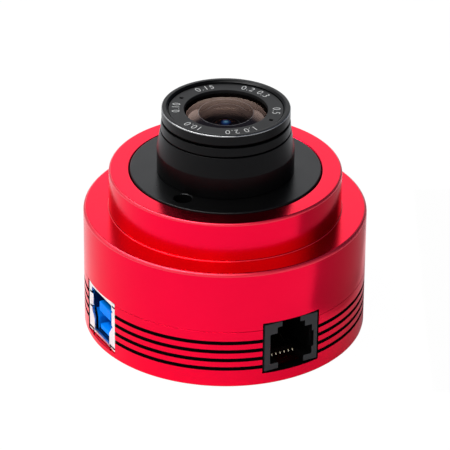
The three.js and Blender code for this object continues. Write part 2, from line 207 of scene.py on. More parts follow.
def plain(name, colors, scale, grain=None, **sockets):
    """A surface whose colour varies softly. grain is the scale and depth of its bump."""
    material, shader = new_material(name, **sockets)
    vary(shader, colors, scale)
    if grain:
        roughen(shader, *grain)
    return material


def pupil_painted_reflection():
    """A painted blue reflection for the coating deep in the lens: a mirror patch whose blue fades out from
    the middle, so the glint's colour and fall-off are painted while what it mirrors is rendered.
    """
    material, shader = new_material("pupil_painted_reflection", metallic=1.0, roughness=0.3)
    tree = shader.id_data
    flat = add_node(tree, "VectorMath", {0: object_point(tree), 1: (1, 1, 0)}, operation="MULTIPLY")
    reach = add_node(tree, "VectorMath", {0: flat.outputs[0]}, operation="LENGTH").outputs["Value"]
    share = add_node(tree, "Math", {0: reach, 1: PUPIL_R * MM}, operation="DIVIDE").outputs[0]
    fade = ramped(tree, share, (0.1, (0.2, 0.6, 0.8)), (0.55, (0.03, 0.14, 0.5)), (1.0, (0.01, 0.01, 0.03)))
    tree.links.new(fade, shader.inputs["Base Color"])
    return material


def metal(name, color, roughness):
    material, shader = new_material(name, metallic=1.0, roughness=roughness)
    dark = tuple(0.9 * c for c in color)
    vary(shader, (dark, color), 400)
    vary(shader, (0.8 * roughness, 1.2 * roughness), 800, socket="Roughness")
    roughen(shader, 5000, 1.5e-6)
    return material


def plastic(name, color, roughness, grain=4e-6, gloss=0.5):
    material, shader = new_material(name, roughness=roughness, specular_ior_level=gloss)
    dark = tuple(0.85 * c for c in color)
    vary(shader, (dark, color), 250)
    vary(shader, (0.85 * roughness, 1.1 * roughness), 500, socket="Roughness")
    roughen(shader, 7000, grain)
    return material


def lens_glass(name, tint, film_nm=0.0, ior=1.6):
    """Clear glass with an antireflection coating, whose leftover reflection has a tint."""
    material, shader = new_material(
        name, base_color=(1, 1, 1), roughness=0.0, transmission_weight=1.0, ior=ior, specular_tint=tint
    )
    if film_nm:
        shader.inputs["Thin Film Thickness"].default_value = film_nm
        shader.inputs["Thin Film IOR"].default_value = 1.38
    return material


def circuit_board_green():
    material, shader = new_material(
        "circuit_board", roughness=0.35, coat_weight=0.4, coat_roughness=0.15
    )
    tree = shader.id_data
    cells = add_node(
        tree, "TexVoronoi", {"Vector": object_point(tree), "Scale": 900.0}, distance="MANHATTAN", feature="F1"
    )
    distance = cells.outputs["Distance"]
    copper = ramped(tree, distance, (0.45, (0.004, 0.03, 0.012)), (0.55, (0.01, 0.06, 0.025)))
    tree.links.new(copper, shader.inputs["Base Color"])
    roughen(shader, 3000, 6e-6)
    return material


def sensor_silicon():
    """Bare silicon under colour filters: a fine grid with a shifting sheen."""
    material, shader = new_material("sensor_silicon", metallic=0.9, roughness=0.18)
    tree = shader.id_data
    shader.inputs["Thin Film Thickness"].default_value = 420
    shader.inputs["Thin Film IOR"].default_value = 1.45
    tiles = add_node(tree, "TexBrick", {
        "Vector": object_point(tree), "Scale": 1500.0, "Mortar Size": 0.05, "Mortar": (0.02, 0.02, 0.05, 1),
        "Color1": (0.05, 0.07, 0.16, 1), "Color2": (0.07, 0.06, 0.15, 1),
    })
    tree.links.new(tiles.outputs["Color"], shader.inputs["Base Color"])
    return material


RED = red_anodised("red_anodised", 0.08)
RED_EDGE = red_anodised("red_anodised_edge", 1.0, 0.25)
DYED_BLACK = ((0.0012, 0.0012, 0.0013), (0.0022, 0.0021, 0.0021))
BLACK = turned_black("black_anodised", DYED_BLACK, 60, (0.27, 0.34), 150, ior=1.29)
LENS_METAL = turned_black("lens_black_anodised", DYED_BLACK, 60, (0.27, 0.34), 150, ior=1.22)
RUBBED = ((0.36, 0.36, 0.356), (0.42, 0.42, 0.415))
BLACK_EDGE = turned_black("rubbed_edge", RUBBED, 200, (0.24, 0.32), 300, metallic=1.0)
# The front element's polished seat and ground line, the grooves' black paint, which also serves as painted
# shade on the walls round the sockets and in the USB socket's slits, and the black inside the lens.
POLISHED = ((0.17, 0.12, 0.1), (0.185, 0.13, 0.108))
GROUND_EDGE = plain("ground_glass_edge", POLISHED, 90, metallic=1.0, roughness=0.04)
BEVEL = plain("ground_bevel", ((0.2, 0.19, 0.19), (0.26, 0.25, 0.25)), 300, roughness=0.6)
BLACK_PAINT_AND_SHADE = ((0.0008, 0.0006, 0.0006), (0.002, 0.0012, 0.0012))
GROOVE_PAINT_AND_SHADE = plain("groove_paint_and_shade", BLACK_PAINT_AND_SHADE, 300, (6000, 4e-6), roughness=0.7, specular_ior_level=0.02)
INSIDE = plain("lens_black", (0.002, 0.004), 200, (5000, 6e-6), roughness=0.6, specular_ior_level=0.25)
PUPIL_PAINTED_REFLECTION = pupil_painted_reflection()
STEEL = metal("screw_steel", (0.6, 0.6, 0.61), 0.28)
NICKEL = metal("connector_nickel", (0.93, 0.92, 0.89), 0.34)
GOLD = metal("contact_gold", (0.9, 0.72, 0.42), 0.25)
BLUE = plastic("connector_blue", (0.0, 0.24, 0.95), 0.5, 2e-6, 0.04)
# The blue plastic darkened to navy: painted shade deep in the USB socket.
BLUE_PAINTED_SHADE = plastic("connector_blue_painted_shade", (0.0, 0.012, 0.07), 0.6, 2e-6, 0.05)
JACK_BLACK = plastic("jack_black", (0.024, 0.025, 0.026), 0.55, gloss=0.3)
# The jack's black plastic darkened further: painted shade inside the jack.
JACK_PAINTED_SHADE = plastic("jack_painted_shade", (0.0016, 0.0016, 0.0016), 0.6, gloss=0.08)
CHIP = plastic("chip_epoxy", (0.02, 0.02, 0.021), 0.6)
CERAMIC = plastic("sensor_ceramic", (0.05, 0.04, 0.035), 0.55)
RUBBER = plastic("seal_rubber", (0.012, 0.012, 0.012), 0.75)
PRINT = plastic("white_print", (0.62, 0.62, 0.6), 0.6)
CAPACITOR = plastic("capacitor_ceramic", (0.24, 0.15, 0.09), 0.4)
FERRITE = plastic("inductor_ferrite", (0.045, 0.045, 0.048), 0.7)
HEADER = plastic("header_plastic", (0.025, 0.024, 0.022), 0.5)
SOLDER = metal("solder_tin", (0.72, 0.72, 0.7), 0.3)
WIRE = metal("wire_gold", (0.95, 0.84, 0.62), 0.12)
BOARD = circuit_board_green()
SILICON = sensor_silicon()
FRONT_GLASS = lens_glass("front_glass", (0.8, 0.62, 0.54), 112)
HOLLOW_GLASS = lens_glass("hollow_glass", (0.25, 0.15, 0.12), 112)
INNER_GLASS = lens_glass("inner_glass", (0.35, 0.18, 0.12), 105, ior=1.65)
DEEP_GLASS = lens_glass("deep_glass", (0.08, 0.24, 0.7), ior=1.7)
WINDOW_GLASS = lens_glass("window_glass", (0.6, 0.8, 1.0), ior=1.52)


# A finish slot name for each material.
SLOTS = {
    RED: "red_anodised", BLACK: "black_anodised", LENS_METAL: "black_anodised", INSIDE: "black_anodised",
    STEEL: "screw_steel", NICKEL: "connector_shell", BLUE: "connector_blue", JACK_BLACK: "connector_black",
    GOLD: "contact_gold", WIRE: "contact_gold", RUBBER: "seal_rubber", CERAMIC: "sensor_ceramic",
    CHIP: "sensor_silicon", CAPACITOR: "chip_package", SOLDER: "crystal_case",
}
SLOTS |= dict.fromkeys((FRONT_GLASS, INNER_GLASS, DEEP_GLASS, WINDOW_GLASS), "clear_glass")


# --- mesh building ---
SHARP = math.radians(32)
BODY_TURNS = 192
RING_TURNS = 144
SMALL_TURNS = 48
THREAD_ROWS = 8  # in one pitch


def object_from(name, maker, material):
    """A new object from a filled bmesh drawn in millimetres, shaded smooth up to sharp edges."""
    maker.normal_update()
    mesh = bpy.data.meshes.new(name)
    bmesh.ops.scale(maker, vec=(MM, MM, MM), verts=maker.verts)
    maker.to_mesh(mesh)
    maker.free()
    mesh.materials.append(material)
    mesh.polygons.foreach_set("use_smooth", [True] * len(mesh.polygons))
    mesh.set_sharp_from_angle(angle=SHARP)
    return linked(name, mesh)


def make_piece(name, maker, material, *replaced, body="camera_body"):
    """A piece of a material, riding on its body, in place of the CAD nodes that it stands for."""
    piece = object_from(name, maker, material)
    modifier = piece.modifiers.new("weigh_normals", "WEIGHTED_NORMAL")
    modifier.keep_sharp = True
    modifier.weight = 60
    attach(piece, body)
    if replaced:
        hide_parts(*replaced)
    return piece


def rounded(corners, steps=4):
    """A closed outline from (a, b) or (a, b, fillet) corners, with each fillet drawn as an arc."""
    points = []
    count = len(corners)
    for i, corner in enumerate(corners):
        here = Vector(corner[:2])
        if len(corner) == 2:
            points.append(here)
            continue
        before = (Vector(corners[i - 1][:2]) - here).normalized()
        after = (Vector(corners[(i + 1) % count][:2]) - here).normalized()
        half = before.angle(after) / 2
        reach = corner[2] / math.tan(half)
        start = here + before * reach
        centre = here + (before + after).normalized() * corner[2] / math.sin(half)
        arm = start - centre
        sweep = math.pi - 2 * half
        if before.x * after.y - before.y * after.x > 0:
            sweep = -sweep
        for k in range(steps + 1):
            points.append(centre + Matrix.Rotation(sweep * k / steps, 2) @ arm)
    return points


def thread_depth(height, angle, thread):
    """How deep a thread cuts at this height and angle. thread is (low, high, pitch, depth, wall radius)."""
    low, high, pitch, depth, _ = thread
    fade = min(1, (height - low) / (0.6 * pitch), (high - height) / (0.6 * pitch))
    if fade <= 0:
        return 0
    phase = ((height - low) / pitch - angle / (math.tau)) % 1
    tooth = min(1, max(0, 2.4 * abs(phase - 0.5) - 0.1))
    return depth * tooth * fade


def on_thread_wall(point, thread):
    return thread and abs(point[0] - thread[4]) < 0.02


def with_thread_rows(outline, thread):
    """Adds outline points along the threaded wall so that the thread has rows to bend."""
    pitch = thread[2]
    points = []
    count = len(outline)
    for i, here in enumerate(outline):
        points.append(here)
        after = outline[(i + 1) % count]
        on_wall = on_thread_wall(here, thread) and on_thread_wall(after, thread)
        rise = abs(after[1] - here[1])
        if not on_wall or rise < pitch:
            continue
        rows = int(THREAD_ROWS * rise / pitch)
        points += [Vector(here).lerp(Vector(after), k / rows) for k in range(1, rows)]
    return points


def lathe(outline, turns, thread=None):
    """A filled bmesh turned round Z from a closed outline of (radius, height) points."""
    if thread:
        outline = with_thread_rows(outline, thread)
    maker = bmesh.new()
    rings = []
    for radius, height in outline:
        if radius < 1e-6:
            rings.append([maker.verts.new((0, 0, height))])
            continue
        threaded = on_thread_wall((radius, height), thread)
        ring = []
        for k in range(turns):
            angle = math.tau * k / turns
            reach = radius - thread_depth(height, angle, thread) if threaded else radius
            ring.append(maker.verts.new((reach * math.cos(angle), reach * math.sin(angle), height)))
        rings.append(ring)
    for i, ring in enumerate(rings):
        after = rings[(i + 1) % len(rings)]
        if len(ring) == 1 and len(after) == 1:
            continue
        for k in range(turns):
            j = (k + 1) % turns
            corners = [ring[k % len(ring)], ring[j % len(ring)], after[j % len(after)], after[k % len(after)]]
            maker.faces.new(list(dict.fromkeys(corners)))
    bmesh.ops.recalc_face_normals(maker, faces=maker.faces)
    return maker


def turned(corners, steps=3, turns=RING_TURNS, thread=None):
    """A lathed bmesh whose corners may have fillets."""
    return lathe(rounded(corners, steps), turns, thread)


def block(low, high, bevel=0, steps=2):
    """A box between two corners with rounded edges."""
    maker = bmesh.new()
    bmesh.ops.create_cube(maker, size=1)
    bmesh.ops.scale(maker, vec=Vector(high) - Vector(low), verts=maker.verts)
    bmesh.ops.translate(maker, vec=(Vector(low) + Vector(high)) / 2, verts=maker.verts)
    if bevel:
        edges = maker.edges[:]
        bmesh.ops.bevel(maker, geom=edges, offset=bevel, segments=steps, profile=0.5, affect="EDGES")
    return maker


def prism(outline, low, high, axis="Z"):
    """A closed outline swept straight. Along X the outline is (y, z), along Y (x, z), along Z (x, y)."""
    maker = bmesh.new()

    def lifted(point, along):
        a, b = point
        return {"X": (along, a, b), "Y": (a, along, b), "Z": (a, b, along)}[axis]

    bottom = [maker.verts.new(lifted(p, low)) for p in outline]
    top = [maker.verts.new(lifted(p, high)) for p in outline]
    maker.faces.new(bottom)
    maker.faces.new(top)
    count = len(outline)
    for i in range(count):
        j = (i + 1) % count
        maker.faces.new([bottom[i], bottom[j], top[j], top[i]])
    bmesh.ops.recalc_face_normals(maker, faces=maker.faces)
    return maker


def moved(maker, x, y, turn=0):
    """The bmesh turned about Z and then shifted."""
    if turn:
        bmesh.ops.rotate(maker, cent=(0, 0, 0), matrix=Matrix.Rotation(turn, 3, "Z"), verts=maker.verts)
    bmesh.ops.translate(maker, vec=(x, y, 0), verts=maker.verts)
    return maker


def merged(*makers):
    """Several bmeshes as one, side by side."""
    whole = makers[0]
    for other in makers[1:]:
        mesh = bpy.data.meshes.new("part")
        other.to_mesh(mesh)
        other.free()
        whole.from_mesh(mesh)
        bpy.data.meshes.remove(mesh)
    return whole


def boolean(maker, tool, operation="DIFFERENCE"):
    """The bmesh cut by, or joined with, another. Both are used up."""
    made = []
    for source in (maker, tool):
        mesh = bpy.data.meshes.new("part")
        source.to_mesh(mesh)
        source.free()
        made.append(linked("part", mesh))
    base, other = made
    modifier = base.modifiers.new("boolean", "BOOLEAN")
    modifier.object = other
    modifier.operation = operation
    modifier.solver = "EXACT"
    bpy.context.view_layer.update()
    result = base.evaluated_get(bpy.context.evaluated_depsgraph_get())
    whole = bmesh.new()
    whole.from_mesh(result.to_mesh())
    result.to_mesh_clear()
    for part in made:
        bpy.data.meshes.remove(part.data)  # this removes the object too
    return whole


def carved(maker, *tools):
    """The bmesh with each of the others cut away in turn."""
    for tool in tools:
        maker = boolean(maker, tool)
    return maker


def paint(piece, material, wanted):
    """Gives a second material to the faces whose centre and normal, in millimetres, pass a test."""
    piece.data.materials.append(material)
    index = len(piece.data.materials) - 1
    for polygon in piece.data.polygons:
        if wanted(polygon.center / MM, polygon.normal):
            polygon.material_index = index


def reach_of(point):
    return math.hypot(point.x, point.y)


def in_box(point, low, high, margin=0):
    """Whether a point is between two corners, or at most a margin outside them."""
    return all(a - margin < p < b + margin for p, a, b in zip(point, low, high))


def polar(radius, degrees):
    angle = math.radians(degrees)
    return radius * math.cos(angle), radius * math.sin(angle)


def rod(radius, low, high, turns=SMALL_TURNS, chamfer=0):
    corners = [(0, low), (radius - chamfer, low), (radius, low + chamfer)]
    corners += [(radius, high - chamfer), (radius - chamfer, high), (0, high)]
    return lathe(list(dict.fromkeys(corners)), turns)


def mirrored(half):
    """An outline from its half, whose corners go from top to bottom on one side of the middle."""
    return half + [(-across, *rest) for across, *rest in reversed(half)]


# --- housings ---
rear_high = span("rear_housing")[1]
BODY_R = rear_high.x
SEAM_Z = span("front_housing")[0].z
SHOULDER_Z = 27.8
NECK_R = 22.6
NECK_Z = span("front_housing")[1].z
INNER_R = BODY_R - 2.4
LIP_R = BODY_R - 1.2
ROOF_Z = 24.6
GROOVES = (4.55, 6.67, 8.79, 10.91)
GROOVE_WIDTH = 0.9
GROOVE_DEPTH = 0.3
screws = [f"case_screw_{i}" for i in range(1, 5)]
SCREW_PLACES = [((span(s)[0] + span(s)[1]) / 2).xy for s in screws]
collar_low, collar_high = span("two_inch_collar")
usb_low, usb_high = span("usb_shell")
jack_low, jack_high = span("guide_jack_housing")
BEAD_HEIGHT = 0.15  # of the fine bead that closes the gap round the collar's foot
PORT_GAP = 0.3
PORT_EDGE = 0.62  # how far round a socket the walls of its opening reach
REAR_SEAM_Z = SEAM_Z - 0.05


def port_openings():
    usb = block(
        (-BODY_R - 1, usb_low.y - PORT_GAP, usb_low.z - 0.15),
        (usb_high.x + 1.4, usb_high.y + PORT_GAP, usb_high.z + PORT_GAP),
    )
    jack = block(
        (jack_low.x - 0.5, -BODY_R - 1, jack_low.z - PORT_GAP),
        (jack_high.x + PORT_GAP, jack_high.y + PORT_GAP, jack_high.z + 0.6),
    )
    return merged(usb, jack)


def on_port_wall(centre, normal):
    """Whether a face of a housing is a wall of the openings cut for the two sockets. These walls are painted
    black as the shade in the gap round each socket.
    """
    by_usb = in_box(centre.yz, usb_low.yz, usb_high.yz, PORT_EDGE) and centre.x < usb_low.x + 6
    by_jack = in_box(centre.xz, jack_low.xz, jack_high.xz, PORT_EDGE) and centre.y < jack_low.y + 6
    in_usb = by_usb and abs(normal.x) < 0.2 and normal.z < 0.5
    in_jack = by_jack and abs(normal.y) < 0.2
    return reach_of(centre) < BODY_R - 0.01 and (in_usb or in_jack)


def on_top_edge(radius, width):
    """A test for the rounded edge at the top of a turned piece's outside."""
    return lambda centre, normal: reach_of(centre) > radius - width and 0.05 < normal.z < 0.95


def make_rear_housing():
    corners = [(0, 0), (BODY_R, 0, 0.45)]
    for z in GROOVES:
        low, high = z - GROOVE_WIDTH / 2, z + GROOVE_WIDTH / 2
        corners += [(BODY_R, low), (BODY_R - 0.03, low), (BODY_R - GROOVE_DEPTH, low + 0.05, 0.06)]
        corners += [(BODY_R - GROOVE_DEPTH, high - 0.05, 0.06), (BODY_R - 0.03, high), (BODY_R, high)]
    corners += [(BODY_R, REAR_SEAM_Z, 0.07), (LIP_R, REAR_SEAM_Z), (LIP_R, rear_high.z, 0.15)]
    corners += [(INNER_R, rear_high.z, 0.15), (INNER_R, 2.4, 0.6), (0, 2.4)]
    shell = turned(corners, 3, BODY_TURNS)
    post_top = 14.95
    posts = [moved(rod(3.4, 2.0, post_top, 32), x, y) for x, y in SCREW_PLACES]
    shell = boolean(shell, merged(rod(6.5, 2.0, 7.2), *posts), "UNION")
    counterbore = [
        (0, -1), (3.35, -1), (3.35, 0.0), (2.95, 0.4), (2.95, 3.25), (1.65, 3.25), (1.65, 16), (0, 16),
    ]
    holes = [moved(lathe(counterbore, 32), x, y) for x, y in SCREW_PLACES]
    socket = [(0, -1), (3.7, -1), (3.7, 0.0), (3.2, 0.5), (3.2, 6.0), (0, 6.0)]
    tripod = lathe(socket, SMALL_TURNS, thread=(0.4, 6.2, 1.27, 0.3, 3.2))
    shell = carved(shell, merged(tripod, *holes), port_openings())
    piece = make_piece("rear_shell", shell, RED, "rear_housing")
    paint(piece, GROOVE_PAINT_AND_SHADE, lambda c, n: BODY_R - 0.5 < reach_of(c) < BODY_R - 0.01 and 3 < c.z < 12)
    # The walls round the sockets are painted black: painted shade in the gaps.
    paint(piece, GROOVE_PAINT_AND_SHADE, on_port_wall)


def make_front_housing():
    bead, bead_z = collar_high.x + 0.06, SHOULDER_Z + BEAD_HEIGHT
    corners = [
        (LIP_R + 0.1, SEAM_Z), (BODY_R, SEAM_Z, 0.07), (BODY_R, SHOULDER_Z, 0.75),
        (bead + 0.2, SHOULDER_Z), (bead + 0.16, bead_z, 0.08), (bead, bead_z, 0.05), (bead, SHOULDER_Z),
        (NECK_R, SHOULDER_Z, 0.1), (NECK_R, NECK_Z, 0.15), (16.2, NECK_Z, 0.2), (16.2, 27.2), (13, 27.2, 0.2),
        (13, ROOF_Z, 0.2), (INNER_R, ROOF_Z, 0.5), (INNER_R, 14.9), (LIP_R + 0.1, 14.9),
    ]
    shell = turned(corners, 5, BODY_TURNS, thread=(28.5, 31.2, 0.75, 0.32, NECK_R))
    bosses = [moved(rod(3.4, 23.25, ROOF_Z + 0.5, 32), x, y) for x, y in SCREW_PLACES]
    holes = [moved(rod(1.5, 20, 26.4, 24), x, y) for x, y in SCREW_PLACES]
    shell = boolean(shell, merged(*bosses), "UNION")
    shell = carved(shell, merged(*holes), port_openings())
    piece = make_piece("front_shell", shell, RED, "front_housing")
    # The walls round the sockets are painted black: painted shade in the gaps.
    paint(piece, GROOVE_PAINT_AND_SHADE, on_port_wall)
    bead_low, bead_high = (bead + 0.04, SHOULDER_Z + 0.01), (bead + 0.24, bead_z + 1)
    paint(piece, RED_EDGE, lambda c, n: in_box((reach_of(c), c.z), bead_low, bead_high))
    paint(piece, RED_EDGE, on_top_edge(BODY_R, 1))


def make_screws():
    for name, (x, y) in zip(screws, SCREW_PLACES):
        corners = [(0, 0.35), (2.75, 0.35, 0.25), (2.75, 3.2, 0.1), (1.45, 3.2), (1.45, 26, 0.3), (0, 26)]
        screw = turned(corners, 3, SMALL_TURNS, thread=(12, 26, 0.5, 0.18, 1.45))
        hexagon = [polar(1.45, 60 * k) for k in range(6)]
        screw = boolean(screw, prism(hexagon, -1, 1.9))
        make_piece(f"{name}_turned", moved(screw, x, y), STEEL, name)


make_rear_housing()
make_front_housing()
make_screws()


# --- collar and adapter ---
def make_collar():
    radius, top, bottom = collar_high.x, collar_high.z, collar_low.z
    corners = [
        (22.75, bottom, 0.1), (radius, bottom, 0.06), (radius, top, 0.55),
        (21.0, top, 0.35), (21.0, 31.25, 0.15), (22.75, 31.25),
    ]
    shape = turned(corners, 5, BODY_TURNS, thread=(31.4, 36.3, 0.75, -0.3, 21.0))
    piece = make_piece("collar_ring", shape, RED, "two_inch_collar", body="collar")
    paint(piece, RED_EDGE, on_top_edge(radius, 1))


def make_adapter():
    low, high = span("lens_adapter")
    radius, top = high.x, high.z
    corners = [
        (12.7, low.z, 0.3), (radius, low.z, 0.3), (radius, 36.1),
        (radius, top, 0.3), (12.7, top, 0.3), (12.7, 33.4),
    ]
    disc = turned(corners, 4, BODY_TURNS, thread=(32.7, 36.1, 0.75, 0.3, radius))
    hole = [(0, 34.2), (1.9, 34.2), (2, 34.3), (2, top - 0.12), (2.2, top + 0.08), (2.2, 38), (0, 38)]
    holes = [moved(lathe(hole, SMALL_TURNS), *polar(17.05, a)) for a in (-150.4, 29.6)]
    make_piece("adapter_disc", boolean(disc, merged(*holes)), BLACK, "lens_adapter", body="adapter")


make_collar()
make_adapter()

# --- lens ---
BORE_R = 11.6
CELL_R = 11.45
name_low, name_high = span("name_ring")


def make_lens_base():
    low, high = span("lens_base")
    flange, top = 37.05, high.z
    corners = [
        (BORE_R, low.z, 0.2), (12.55, low.z, 0.3), (12.55, flange), (high.x, flange, 0.15),
        (high.x, 42.0, 0.1), (14.2, top, 0.12), (BORE_R, top, 0.1),
    ]
    shape = turned(corners, thread=(33.1, 36.4, 0.79, 0.3, 12.55))
    make_piece("lens_barrel", shape, LENS_METAL, "lens_base", body="lens_mount")


def make_lock_ring():
    low, high = (corner.z for corner in span("focus_lock_ring"))
    corners = [(BORE_R, low, 0.1), (14.15, low, 0.12), (13.95, high, 0.12), (BORE_R, high, 0.1)]
    make_piece("lock_band", turned(corners), LENS_METAL, "focus_lock_ring", body="lock")


def make_focus_ring():
    low, high = span("focus_ring")
    radius, bottom, top = high.x, low.z, high.z
    corners = [
        (BORE_R, bottom, 0.1), (radius - 0.35, bottom, 0.1), (radius, bottom + 0.45, 0.08),
        (radius, top, 0.24), (13.0, top, 0.08), (12.55, top - 0.4, 0.05),
        (12.55, bottom + 0.8), (BORE_R, bottom + 0.8),
    ]
    piece = make_piece("focus_band", turned(corners, 4), LENS_METAL, "focus_ring", body="focus")
    paint(piece, BLACK_EDGE, on_top_edge(radius, 0.3))


def make_name_ring():
    low, high = name_low.z, name_high.z
    corners = [(9.05, low), (12.4, low), (12.4, high, 0.06), (9.05, high, 0.1)]
    ring = turned(corners)
    hole = [(0, 49), (0.42, 49), (0.42, high - 0.08), (0.52, high + 0.02), (0.52, 52), (0, 52)]
    holes = [moved(lathe(hole, 24), *polar(10.9, a)) for a in (-56, 124)]
    piece = make_piece("dial_ring", boolean(ring, merged(*holes)), LENS_METAL, "name_ring", body="focus")
    paint(piece, INSIDE, lambda c, n: reach_of(c) < 9.3 or c.z < high - 0.15)


# Distances round the ring: text, angle of its middle in degrees, anticlockwise from +X.
DIAL = (
    ("0.10", 149.5), ("0.15", 87.2), ("0.2 0.3", 24.7),
    ("0.5", -32.2), ("1.0 2.0", -100.3), ("10.0", -158.5),
)
DIGIT_HEIGHT = 1.7
DIGIT_MIDDLE_R = 10.9


def make_dial_print():
    """Numbers printed on the ring in Blender's own plain font, bent round it with their tops outwards."""
    thickness = 0.012
    whole = bmesh.new()
    for text, middle in DIAL:
        curve = bpy.data.curves.new("glyphs", "FONT")
        curve.body = text
        curve.size = DIGIT_HEIGHT * 1.4
        curve.space_character = 1.12
        curve.align_x = "CENTER"
        curve.extrude = thickness / 2
        curve.resolution_u = 4
        curve.offset = -0.035
        glyphs = linked("glyphs", curve)
        bpy.context.view_layer.update()
        mesh = glyphs.to_mesh()
        tall = max(v.co.y for v in mesh.vertices)
        for vertex in mesh.vertices:
            x, y, z = vertex.co
            radius = DIGIT_MIDDLE_R + (y / tall - 0.5) * DIGIT_HEIGHT
            angle = math.radians(middle) - x / DIGIT_MIDDLE_R
            vertex.co = (radius * math.cos(angle), radius * math.sin(angle), name_high.z + thickness / 2 + z)
        whole.from_mesh(mesh)
        glyphs.to_mesh_clear()
        bpy.data.objects.remove(glyphs)
    piece = object_from("dial_print", whole, PRINT)
    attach(piece, "focus")


def make_lens_cell():
    low, high = (corner.z for corner in span("lens_cell"))
    corners = [
        (5.2, low, 0.15), (5.2, 40.2), (6.05, 40.2), (6.05, 43.0), (7.05, 43.0), (7.05, 46.6),
        (10.4, 46.6), (10.4, high, 0.1), (12.35, high, 0.05), (12.35, high - 0.45),
        (CELL_R, high - 0.45), (CELL_R, low, 0.3),
    ]
    shape = turned(corners, thread=(34.5, 45.5, 0.5, 0.2, CELL_R))
    piece = make_piece("cell_barrel", shape, BLACK, "lens_cell", body="cell")
    paint(piece, INSIDE, lambda c, n: reach_of(c) < 11 and c.z > low + 0.3)


def spherical(sphere, apex, edge, steps=36):
    """Points of a spherical face from the axis outwards. A positive sphere bulges up."""
    side = math.copysign(1, sphere)
    radii = [edge * k / steps for k in range(steps + 1)]
    return [(r, apex - side * (abs(sphere) - math.sqrt(sphere * sphere - r * r))) for r in radii]


SEAT_FALL = 1.15  # how far the front element's conical seat drops from the hollow to the rim
BEVEL_WIDTH = 0.14
BEVEL_FALL = 0.03


def make_element(node, radius, front, back, material):
    """A lens element between two spheres, given as (radius, apex, edge). Outside the back is its seat."""
    is_front = node == "front_element"
    fall, bevel_fall = (SEAT_FALL, BEVEL_FALL) if is_front else (0, 0)
    top, bottom = spherical(*front), spherical(*back)
    rim = []
    if front[2] < radius:
        rim.append((radius, top[-1][1]))
    if back[2] < radius:
        rim.append((radius, bottom[-1][1] - fall))
        rim.append((back[2] + BEVEL_WIDTH, bottom[-1][1] - bevel_fall))
    shape = lathe(top + rim + bottom[::-1], BODY_TURNS)
    piece = make_piece(f"{node}_glass", shape, material, node, body="cell")
    edge = min(front[2], back[2])
    bevel = edge + BEVEL_WIDTH
    paint(piece, INSIDE, lambda c, n: reach_of(c) > edge - 0.02 and n.z < 0.2)
    if node == "second_element":
        # The back of the second element carries the painted blue reflection in its middle.
        paint(piece, PUPIL_PAINTED_REFLECTION, lambda c, n: reach_of(c) < PUPIL_R and n.z < 0)
    if is_front:
        paint(piece, GROUND_EDGE, lambda c, n: reach_of(c) > edge and n.z < -0.9)
        paint(piece, BEVEL, lambda c, n: edge < reach_of(c) < bevel and n.z < -0.9)
        paint(piece, HOLLOW_GLASS, lambda c, n: reach_of(c) < edge - 0.02 and n.z < 0)


ELEMENTS = (
    ("front_element", 10.25, (36, 51.4, 10.25), (12.3, 50.7, 5.7), FRONT_GLASS),
    ("second_element", 6.9, (14, 46.3, 6.9), (4.3, 45.4, 3.6), INNER_GLASS),
    ("third_element", 5.9, (11, 42.9, 5.9), (-14, 40.2, 5.6), DEEP_GLASS),
    ("fourth_element", 5.05, (9, 39.75, 5.05), (-12, 36.7, 5.05), DEEP_GLASS),
    ("rear_element", 5.05, (16, 36.4, 5.05), (-20, 35.05, 5.05), WINDOW_GLASS),
)


# Rings in the cell: node, inner and outer radius, fall of the top towards the outside.
RINGS = (
    ("front_spacer", 5.8, 10.3, SEAT_FALL),
    ("aperture_stop", 3.4, 6.0, 0),
    ("rear_retainer", 4.2, 5.1, 0),
)


def make_optics_rings():
    for node, inner, outer, fall in RINGS:
        low, high = (corner.z for corner in span(node))
        edge = min(0.06, (high - low) / 4)
        corners = [(inner, low, edge), (outer, low, edge), (outer, high - fall, edge), (inner, high, edge)]
        make_piece(f"{node}_ring", turned(corners, 2, 96), INSIDE, node, body="cell")


make_lens_base()
make_lock_ring()
make_focus_ring()
make_name_ring()
make_dial_print()
make_lens_cell()
for element in ELEMENTS:
    make_element(*element)
make_optics_rings()


# --- window and sensor ---
def make_window():
    low, high = span("window_seal")
    section, middle_z = (high.z - low.z) / 2, (low.z + high.z) / 2
    points = [polar(section, 360 * k / 16) for k in range(16)]
    circle = [(high.x - section + x, middle_z + z) for x, z in points]
    make_piece("window_o_ring", lathe(circle, RING_TURNS), RUBBER, "window_seal")

    low, high = span("window_glass")
    pane = rod(high.x, low.z, high.z, RING_TURNS, 0.2)
    make_piece("window_pane", pane, WINDOW_GLASS, "window_glass")

    low, high = span("window_retainer")
    inner = 13.6
    corners = [
        (inner, low.z, 0.1), (high.x, low.z), (high.x, high.z, 0.15),
        (inner + 0.4, high.z, 0.05), (inner, high.z - 0.4, 0.05),
    ]
    ring = turned(corners, thread=(low.z, high.z, 0.5, 0.15, high.x))
    slots = [block((side * 15 - 2, -0.6, 30.5), (side * 15 + 2, 0.6, 32)) for side in (-1, 1)]
    ring = boolean(ring, merged(*slots))
    make_piece("retainer_ring", ring, BLACK, "window_retainer")


PACKAGE_PADS = 12  # gold pads along each side of the sensor package


